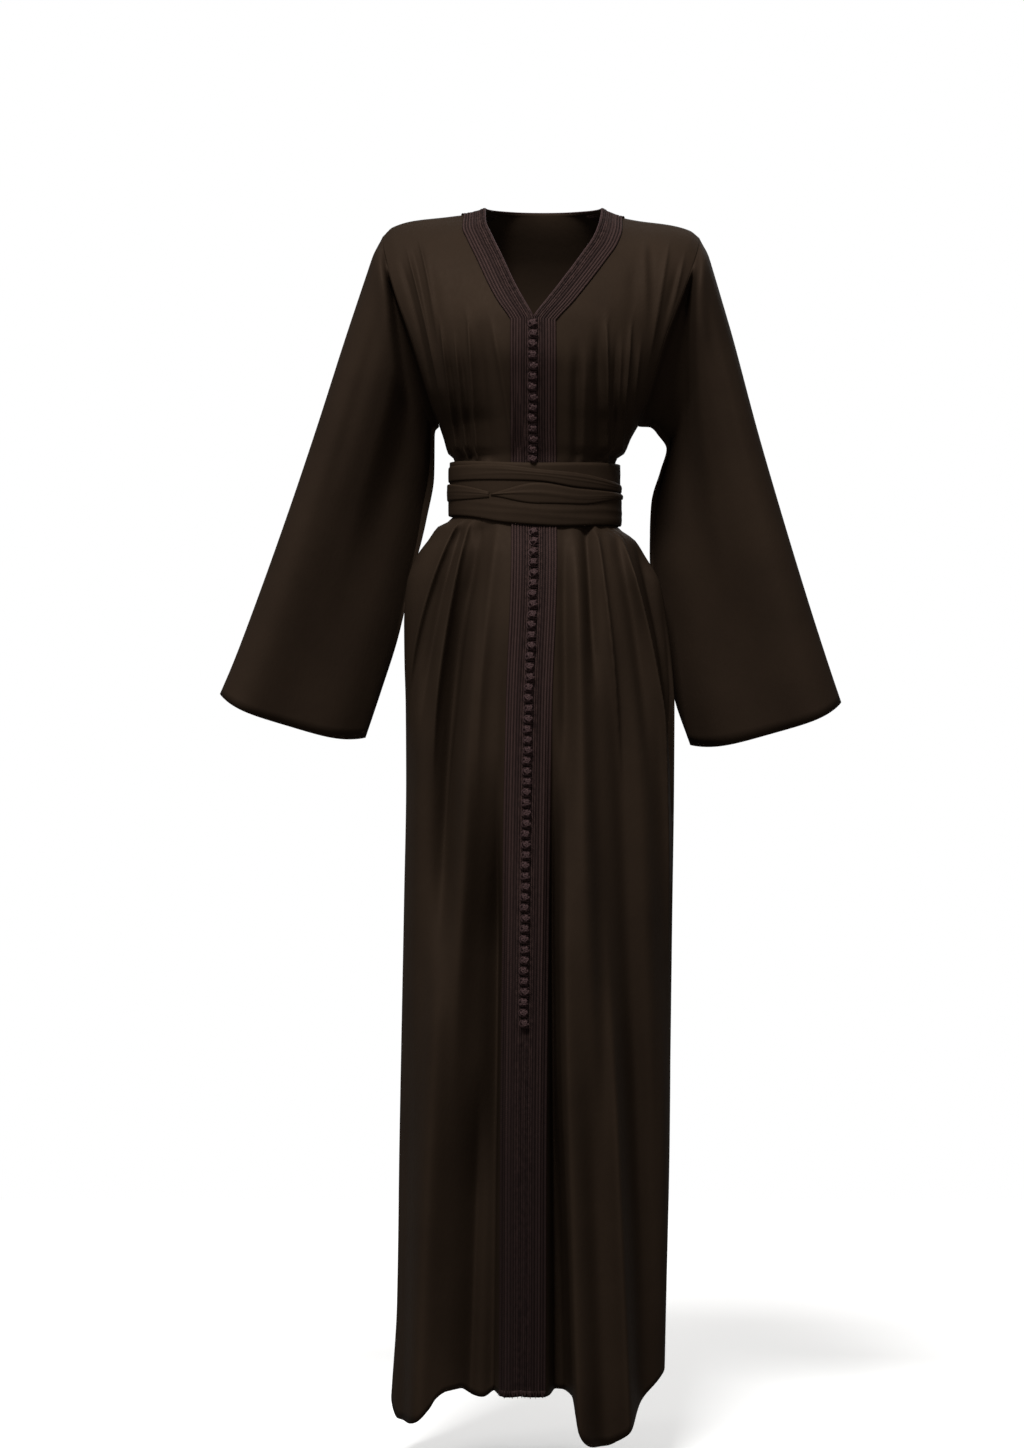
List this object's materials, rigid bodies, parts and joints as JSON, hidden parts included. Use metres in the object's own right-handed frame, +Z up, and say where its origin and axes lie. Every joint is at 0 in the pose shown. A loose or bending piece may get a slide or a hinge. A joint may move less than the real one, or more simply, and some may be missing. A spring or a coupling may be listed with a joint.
{
  "type": "kaftan",
  "caption": "Full-length V-neck kaftan in worn form: wide bell sleeves, corded braid and knotted buttons down the front, and a wound sash.",
  "frame": {"origin": "base of the neck, midway between the two points where the shoulder seams meet the neck edge, level with them", "axes": "+Z up along the wearer; the front faces -Y; the wearer's left side is on +X"},
  "size_m": [0.745, 0.315, 1.4636],
  "materials": {
    "cloth": "smooth matt crepe with a faint sheen",
    "sash": "the same crepe, wound and creased",
    "braid": "corded rayon braid with a soft sheen",
    "knots": "hand-knotted cord"
  },
  "bodies": {
    "root": {"front_right": "cloth", "front_left": "cloth", "back": "cloth", "sleeve_right": "cloth", "sleeve_left": "cloth", "braid_right": "braid", "braid_left": "braid", "braid_back_neck": "braid", "sash_under": "sash", "sash_lower": "sash", "sash_upper": "sash", "sash_cross": "sash", "sash_middle": "sash", "closure_01": "knots", "closure_02": "knots", "closure_03": "knots", "closure_04": "knots", "closure_05": "knots", "closure_06": "knots", "closure_07": "knots", "closure_08": "knots", "closure_09": "knots", "closure_10": "knots", "closure_11": "knots"}
  },
  "joints": []
}
